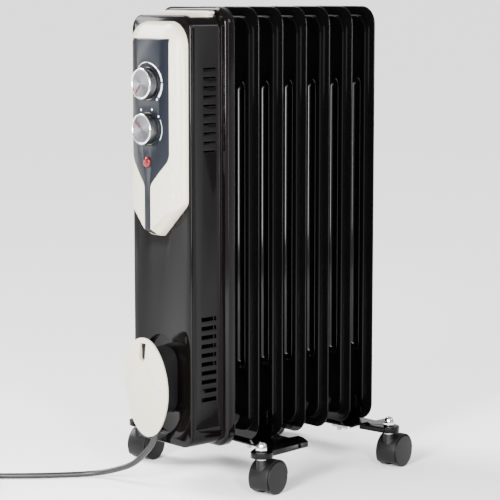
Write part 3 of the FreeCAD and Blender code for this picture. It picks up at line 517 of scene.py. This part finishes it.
# ---- bezel, panel and printed marks --------------------------------------------------------------
PANEL_HALF_X = 34.5 * MM


def panel_front(x, sizes):
    """Depth of the panel's face in front of the cover, which is an arc across."""
    rise = sizes.crown - sizes.shoulder
    radius = (PANEL_HALF_X ** 2 + rise * rise) / (2 * rise)
    return math.sqrt(radius * radius - x * x) - radius + sizes.crown - sizes.sink


class RADIATOR_OT_bezel(bpy.types.Operator):
    """Mould the cream bezel with its quilted lower fields, and the slate panel in it"""
    bl_idname = "radiator.bezel"
    bl_label = "Bezel and panel"

    def execute(self, context):
        sizes = context.scene.radiator_bezel_sizes
        bm = soften(merged("control_bezel"), 0.45 * MM, 3)
        low, high, inner, outer, border = 314 * MM, 398 * MM, 8 * MM, 43.5 * MM, 3 * MM
        sliced(bm, 0, -46 * MM, 46 * MM, sizes.dimple_x / 8)
        sliced(bm, 2, low, high, sizes.dimple_z / 8)
        bm.normal_update()
        for vert in bm.verts:
            x, z = vert.co.x, vert.co.z
            front = (vert.co.y - FRONT_Y) < -9.5 * MM and vert.normal.y < -0.4
            if front and low < z < high and inner < abs(x) < outer:
                edge = smoothstep((z - low) / (8 * MM)) * smoothstep((high - z) / (10 * MM))
                edge *= smoothstep((outer - abs(x)) / border) * smoothstep((abs(x) - inner) / border)
                wave = math.sin(math.pi * (x / sizes.dimple_x + z / (2 * sizes.dimple_z)))
                wave *= math.sin(math.pi * (x / sizes.dimple_x - z / (2 * sizes.dimple_z)))
                vert.co.y += sizes.dimple * edge * wave * wave
        place(piece("quilted_bezel", bm, "cream", smooth=30), "root", "cream_plastic", "control_bezel")
        softened("control_panel", "slate", "slate_panel", 0.25 * MM)
        return {"FINISHED"}


def printed_arc(name, middle_z, radius, start, end, width_start, width_end, sizes):
    """A printed line on the panel, round a point on its middle line. Angles run clockwise from the top."""
    bm = bmesh.new()
    steps = max(4, int(abs(end - start) / 3))
    bmesh.ops.create_grid(bm, x_segments=steps, y_segments=2, size=1.0)
    for vert in bm.verts:
        t = (vert.co.x + 1) / 2
        angle = math.radians(start + (end - start) * t)
        reach = radius + vert.co.y * (width_start + (width_end - width_start) * t) / 2
        x, z = reach * math.sin(angle), middle_z + reach * math.cos(angle)
        vert.co = Vector((x, FRONT_Y - panel_front(x, sizes) - 0.12 * MM, z))
    bmesh.ops.solidify(bm, geom=bm.faces[:], thickness=0.06 * MM)
    bmesh.ops.recalc_face_normals(bm, faces=bm.faces)
    return place(piece(name, bm, "print"), "root", "slate_panel")


def printed_dot(name, middle_z, radius, angle, size, sizes):
    """A round printed dot on the panel."""
    angle = math.radians(angle)
    x, z = radius * math.sin(angle), middle_z + radius * math.cos(angle)
    bm = bmesh.new()
    bmesh.ops.create_cone(bm, cap_ends=True, segments=24, radius1=size / 2, radius2=size / 2, depth=0.1 * MM)
    bmesh.ops.rotate(bm, verts=bm.verts, matrix=Matrix.Rotation(math.pi / 2, 3, "X"))
    bmesh.ops.translate(bm, verts=bm.verts, vec=(x, FRONT_Y - panel_front(x, sizes) - 0.1 * MM, z))
    return place(piece(name, bm, "print"), "root", "slate_panel")


class RADIATOR_OT_marks(bpy.types.Operator):
    """Print the scale round the thermostat knob and the positions round the selector"""
    bl_idname = "radiator.marks"
    bl_label = "Printed marks"

    def execute(self, context):
        sizes = context.scene.radiator_bezel_sizes
        z, scale_radius = KNOB_Z["thermostat"], 25.2 * MM
        arcs = [(-52, 4, 0.5, 1.0), (8, 44, 1.0, 1.5), (48, 84, 1.5, 2.0), (88, 128, 2.0, 2.7)]
        for i, (start, end, thin, thick) in enumerate(arcs):
            printed_arc("scale_arc_%d" % (i + 1), z, scale_radius, start, end, thin * MM, thick * MM, sizes)
        printed_dot("scale_end_dot", z, scale_radius, 136, 3.0 * MM, sizes)
        z, mark_radius = KNOB_Z["selector"], 25.0 * MM
        for i, angle in enumerate((-58, -28, 22, 52)):
            printed_dot("selector_dot_%d" % (i + 1), z, mark_radius, angle, 2.6 * MM, sizes)
        printed_arc("selector_arc", z, mark_radius, 62, 120, 0.5 * MM, 0.9 * MM, sizes)
        return {"FINISHED"}


# ---- knobs and lamp ---------------------------------------------------------------------------------
def turned(profile, middle, steps=96):
    """A shape turned about an axis along Y; profile is (radius, y) points, in order."""
    bm = bmesh.new()
    verts = [bm.verts.new((radius, y, 0)) for radius, y in profile]
    edges = [bm.edges.new(pair) for pair in zip(verts, verts[1:])]
    bmesh.ops.spin(bm, geom=verts + edges, cent=(0, 0, 0), axis=(0, 1, 0), angle=2 * math.pi,
                   steps=steps, use_merge=True, use_duplicate=False)
    bmesh.ops.remove_doubles(bm, verts=bm.verts, dist=0.002 * MM)
    bmesh.ops.recalc_face_normals(bm, faces=bm.faces)
    bmesh.ops.translate(bm, verts=bm.verts, vec=middle)
    return bm


class RADIATOR_OT_knobs(bpy.types.Operator):
    """Turn the two aluminium knobs with their red pointers"""
    bl_idname = "radiator.knobs"
    bl_label = "Knobs"

    def execute(self, context):
        for name, aim in (("thermostat", 222.0), ("selector", -52.0)):  # degrees clockwise from the top
            low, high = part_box(name + "_knob")
            radius, back, face = high.x, high.y, low.y
            z = KNOB_Z[name]
            inner = radius - 2.4 * MM
            profile = [(0, face + 0.55 * MM), (inner * 0.5, face + 0.6 * MM), (inner, face + 0.7 * MM),
                       (inner + 0.35 * MM, face + 0.12 * MM), (inner + 0.9 * MM, face),
                       (radius - 0.9 * MM, face + 0.05 * MM), (radius - 0.25 * MM, face + 0.5 * MM),
                       (radius, face + 1.3 * MM), (radius, back - 0.8 * MM), (radius - 0.6 * MM, back),
                       (0, back)]
            bm = turned(profile, (0, 0, z))
            for f in bm.faces:
                middle = f.calc_center_median()
                out = math.hypot(middle.x, middle.z - z)
                f.material_index = 1 if out > inner and middle.y < face + 0.9 * MM else 0
            knob = piece("turned_%s_knob" % name, bm, "turned", "rim", smooth=25)
            knob.data.materials[0] = aluminium_about(z)
            place(knob, name, "spun_aluminium", name + "_knob")
            bm = bmesh.new()
            bmesh.ops.create_cube(bm, size=1.0)
            bmesh.ops.scale(bm, verts=bm.verts, vec=(1.9 * MM, 0.5 * MM, 13.6 * MM))
            sides = [e for e in bm.edges if abs(e.verts[0].co.y - e.verts[1].co.y) > 0.1 * MM]
            bmesh.ops.bevel(bm, geom=sides, offset=0.8 * MM, segments=5, profile=0.5, affect="EDGES",
                            material=-1)
            bmesh.ops.translate(bm, verts=bm.verts, vec=(0, 0, 8.9 * MM))
            bmesh.ops.rotate(bm, verts=bm.verts, matrix=Matrix.Rotation(math.radians(aim), 3, "Y"))
            bmesh.ops.translate(bm, verts=bm.verts, vec=(0, face + 0.5 * MM, z))
            place(piece(name + "_pointer", bm, "pointer"), name, "red_lens")
        return {"FINISHED"}


def aluminium_about(z):
    """A knob's own copy of the turned finish, named for the knob's height in millimetres."""
    made = finish("turned").copy()
    made.name = "turned_aluminium_at_%d" % round(z / MM)
    return made


class RADIATOR_OT_lamp(bpy.types.Operator):
    """Mould the red lamp lens"""
    bl_idname = "radiator.lamp"
    bl_label = "Lamp lens"

    def execute(self, context):
        low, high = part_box("lamp_lens")
        radius = (high.x - low.x) / 2
        front = low.y
        dome = [(radius * math.sin(math.radians(a)), front + 2.2 * MM * (1 - math.cos(math.radians(a))))
                for a in (0, 15, 30, 45, 60, 72, 82, 90)]
        bm = turned(dome + [(radius, high.y), (0, high.y)], (0, 0, LAMP_Z), steps=48)
        place(piece("domed_lamp_lens", bm, "lens"), "root", "red_lens", "lamp_lens")
        return {"FINISHED"}


# ---- lead wrap, gland and lead -----------------------------------------------------------------------
def plate_lean(z):
    """How far the plate leans out at a height, more towards its top."""
    return 2.0 * MM + 4.5 * MM * smoothstep((z - 105 * MM) / (75 * MM))


def ridge_distance(x, z):
    """Distance from the plate's pressed double curve, which runs from the notch to each side."""
    side = abs(x)
    best = 1.0
    for i in range(25):
        t = i / 24
        curve_x = (5.5 + 32.0 * t) * MM
        curve_z = (158 - 26 * smoothstep(t) - 9 * t) * MM
        best = min(best, math.hypot(side - curve_x, z - curve_z))
    return best


class RADIATOR_OT_lead_wrap(bpy.types.Operator):
    """Mould the oval plate of the lead wrap, its post and the strain relief"""
    bl_idname = "radiator.lead_wrap"
    bl_label = "Lead wrap"

    def execute(self, context):
        bm = soften(merged("cord_plate"), 0.7 * MM, 3)
        sliced(bm, 0, -39.6 * MM, 39.6 * MM, 1.2 * MM)
        sliced(bm, 2, 118 * MM, 164 * MM, 1.2 * MM)
        bm.normal_update()
        for vert in bm.verts:
            if vert.normal.y < -0.7 and vert.co.y < FRONT_Y - 22 * MM:
                away = ridge_distance(vert.co.x, vert.co.z)
                vert.co.y -= 1.2 * MM * smoothstep(1 - away / (3.4 * MM))
            vert.co.y -= plate_lean(vert.co.z)
        place(piece("pressed_cord_plate", bm, "cream", smooth=40), "root", "cream_plastic", "cord_plate")
        bm = soften(merged("cord_post"), 0.5 * MM)
        for vert in bm.verts:
            if vert.co.y < PLATE_BACK_Y + 3 * MM:
                vert.co.y -= plate_lean(vert.co.z)
        place(piece("wrap_post", bm, "plastic"), "root", "black_plastic", "cord_post")
        softened("cord_gland", "rubber", "lead_rubber", 0.4 * MM)
        return {"FINISHED"}


# Points of the lead, in metres, from the strain relief to the coil.
LEAD_ROUTE = [(0.0015, -0.1495, 0.069), (-0.0025, -0.1505, 0.055), (-0.0135, -0.155, 0.0395),
              (-0.029, -0.162, 0.0235), (-0.052, -0.169, 0.014), (-0.076, -0.1745, 0.0065),
              (-0.093, -0.1885, 0.0036), (-0.1065, -0.2105, 0.0035), (-0.125, -0.2385, 0.0036),
              (-0.152, -0.271, 0.0035), (-0.1887, -0.3097, 0.0036)]
LEAD_END = [(-0.1600, -0.3858, 0.0125), (-0.1490, -0.3830, 0.0165), (-0.1410, -0.3820, 0.0180)]


def coil_turns():
    """Turns of the put-away lead: inwards on the floor, a step up, then outwards on top."""
    centre_x, centre_y = -0.1555, -0.3406
    start_x, start_y = LEAD_ROUTE[-1][0] - centre_x, LEAD_ROUTE[-1][1] - centre_y
    start, outer = math.atan2(start_y, start_x), math.hypot(start_x, start_y)
    per_turn, pitch, layer, on_floor = 16, 0.0072, 0.0071, 0.0036
    low_turns, step_up, turns = 2.5, 0.25, 5.27
    inner = outer - pitch * low_turns
    points = []
    for i in range(1, int(turns * per_turn) + 1):
        t = i / per_turn
        if t < low_turns:
            radius, z = outer - pitch * t, on_floor
        else:
            up = min((t - low_turns) / step_up, 1.0)
            radius = inner + 0.0015 * up + pitch * max(t - low_turns - step_up, 0)
            z = on_floor + layer * smoothstep(up)
        angle = start + 2 * math.pi * t
        points.append((centre_x + radius * math.cos(angle), centre_y + radius * math.sin(angle), z))
    return points


class RADIATOR_OT_lead(bpy.types.Operator):
    """Lay the mains lead from its strain relief to the coil and the plug"""
    bl_idname = "radiator.lead"
    bl_label = "Mains lead"

    def execute(self, context):
        diameter = context.scene.radiator_lead_sizes.diameter
        curve = bpy.data.curves.new("mains_lead", "CURVE")
        curve.dimensions = "3D"
        curve.resolution_u = 8
        spline = curve.splines.new("NURBS")
        points = LEAD_ROUTE + coil_turns() + LEAD_END
        spline.points.add(len(points) - 1)
        for point, place_at in zip(spline.points, points):
            point.co = (*place_at, 1.0)
        spline.order_u = 3
        spline.use_endpoint_u = True
        curve.bevel_depth = diameter / 2
        curve.bevel_resolution = 5
        curve.use_fill_caps = True
        curve.materials.append(finish("rubber"))
        lead = bpy.data.objects.new("mains_lead", curve)
        context.scene.collection.objects.link(lead)
        place(lead, "root", "lead_rubber", "power_cord", "cord_coil")
        plug = softened("plug_body", "rubber", "lead_rubber", 1.5 * MM, 4)
        return {"FINISHED"}


# ---- feet and casters ------------------------------------------------------------------------------------
class RADIATOR_OT_feet(bpy.types.Operator):
    """Finish the foot bars and the casters with their dome nuts and washers"""
    bl_idname = "radiator.feet"
    bl_label = "Feet and casters"

    def execute(self, context):
        for node in ("front_foot", "rear_foot"):
            softened(node, "enamel", "black_enamel", 0.5 * MM, 3)
        for node in ("caster_dome_nuts", "caster_washers"):
            softened(node, "chrome", "chrome_plate", 0.3 * MM)
        for corner in CASTERS:
            softened(corner + "_hood", "caster", "caster_plastic", 0.8 * MM, 3)
            for wheel in ("_wheel_1", "_wheel_2"):
                softened(corner + wheel, "wheel", "wheel_plastic", 0.9 * MM, 3)
        return {"FINISHED"}


KEPT = {"caster_stems": ("zinc", "steel"), "clamp_wing_nuts": ("zinc", "steel"),
        "foot_clamps": ("zinc", "steel"), "cord_plate_screws": ("zinc", "steel"),
        "cover_screws": ("zinc", "steel"), "control_bracket": ("blackened", "steel"),
        "element_flange": ("zinc", "steel"), "oil_filler_plug": ("zinc", "steel"),
        "heating_element": ("element", "element_steel"), "lamp_holder": ("plastic", "black_plastic"),
        "terminal_block": ("plastic", "black_plastic"), "thermostat_body": ("plastic", "black_plastic"),
        "selector_body": ("plastic", "black_plastic"), "thermal_fuse": ("zinc", "steel"),
        "wiring_loom": ("wire", "wire_insulation"), "plug_pins": ("chrome", "nickel_pins"),
        "thermostat_shaft": ("zinc", "steel"), "selector_shaft": ("zinc", "steel")}


class RADIATOR_OT_fittings(bpy.types.Operator):
    """Give the clamps, screws, shafts and inner parts their finishes"""
    bl_idname = "radiator.fittings"
    bl_label = "Fittings"

    def execute(self, context):
        kept = dict(KEPT)
        kept.update({corner + "_axle": ("zinc", "steel") for corner in CASTERS})
        for node, (made, slot) in kept.items():
            mesh = frame["nodes"][node].data
            mesh.materials.clear()
            mesh.materials.append(finish(made))
        return {"FINISHED"}


# ---- stage --------------------------------------------------------------------------------------
def softbox(name, where, target, width, height, power):
    """A rectangular softbox aimed at a point."""
    light = bpy.data.lights.new(name, "AREA")
    light.shape, light.size, light.size_y, light.energy = "RECTANGLE", width, height, power
    lamp = bpy.data.objects.new(name, light)
    lamp.location = where
    lamp.rotation_euler = (Vector(target) - Vector(where)).to_track_quat("-Z", "Y").to_euler()
    lamp.visible_camera = False
    bpy.context.scene.collection.objects.link(lamp)


class RADIATOR_OT_stage(bpy.types.Operator):
    """Set the pale floor, the soft lights and the camera"""
    bl_idname = "radiator.stage"
    bl_label = "Stage"

    def execute(self, context):
        bm = bmesh.new()
        bmesh.ops.create_grid(bm, x_segments=2, y_segments=2, size=200.0)
        floor = piece("floor", bm, "floor")
        world = bpy.data.worlds.new("studio")
        world.use_nodes = True
        background = world.node_tree.nodes["Background"]
        background.inputs["Color"].default_value = (1, 1, 1, 1)
        background.inputs["Strength"].default_value = 0.7
        context.scene.world = world
        sun = bpy.data.lights.new("sky_panel", "SUN")
        sun.energy, sun.angle = 6.0, math.radians(30)
        panel = bpy.data.objects.new("sky_panel", sun)
        panel.rotation_euler = Vector((0.9, 0.35, -1.0)).to_track_quat("-Z", "Y").to_euler()
        context.scene.collection.objects.link(panel)
        softbox("near_strip", (1.45, -0.75, 0.62), (0, 0, 0.35), 0.22, 1.1, 45)
        softbox("far_strip", (0.62, -1.45, 0.75), (0, 0, 0.35), 0.4, 0.75, 75)
        softbox("left_softbox", (-2.2, -1.6, 1.0), (0, 0, 0.4), 0.25, 1.4, 30)
        softbox("right_softbox", (2.2, 1.6, 1.9), (0, 0, 0.4), 0.8, 0.8, 20)
        camera = bpy.data.cameras.new("camera")
        camera.sensor_width = 36.0
        camera.lens = 141.5
        camera.clip_end = 500.0
        holder = bpy.data.objects.new("camera", camera)
        holder.location = (1.8402, -1.6003, 0.5986)
        holder.rotation_euler = Euler((math.pi / 2 - 0.13101, 0, 0.85438), "XYZ")
        context.scene.collection.objects.link(holder)
        context.scene.camera = holder
        return {"FINISHED"}


STEPS = (RADIATOR_OT_stage, RADIATOR_OT_lead, RADIATOR_OT_fins, RADIATOR_OT_housing, RADIATOR_OT_bezel,
         RADIATOR_OT_marks, RADIATOR_OT_knobs, RADIATOR_OT_lamp, RADIATOR_OT_lead_wrap, RADIATOR_OT_feet,
         RADIATOR_OT_fittings)


GROUPS = {"radiator_fin_sizes": RadiatorFinSizes, "radiator_bezel_sizes": RadiatorBezelSizes,
          "radiator_lead_sizes": RadiatorLeadSizes, "radiator_colours": RadiatorColours}


class RADIATOR_PT_panel(bpy.types.Panel):
    """Steps that make the radiator"""
    bl_idname = "RADIATOR_PT_panel"
    bl_label = "Radiator"
    bl_space_type = "VIEW_3D"
    bl_region_type = "UI"
    bl_category = "Radiator"

    def draw(self, context):
        for name in GROUPS:
            for prop in getattr(context.scene, name).bl_rna.properties:
                if prop.identifier not in ("rna_type", "name"):
                    self.layout.prop(getattr(context.scene, name), prop.identifier)
        for step in STEPS:
            self.layout.operator(step.bl_idname)


def register():
    for group in GROUPS.values():
        bpy.utils.register_class(group)
    for name, group in GROUPS.items():
        setattr(bpy.types.Scene, name, bpy.props.PointerProperty(type=group))
    for step in STEPS:
        bpy.utils.register_class(step)
    bpy.utils.register_class(RADIATOR_PT_panel)


def unregister():
    bpy.utils.unregister_class(RADIATOR_PT_panel)
    for step in reversed(STEPS):
        bpy.utils.unregister_class(step)
    for name, group in GROUPS.items():
        delattr(bpy.types.Scene, name)
        bpy.utils.unregister_class(group)


def main():
    register()
    for step in STEPS:
        family, name = step.bl_idname.split(".")
        getattr(getattr(bpy.ops, family), name)()


if __name__ == "__main__":
    main()
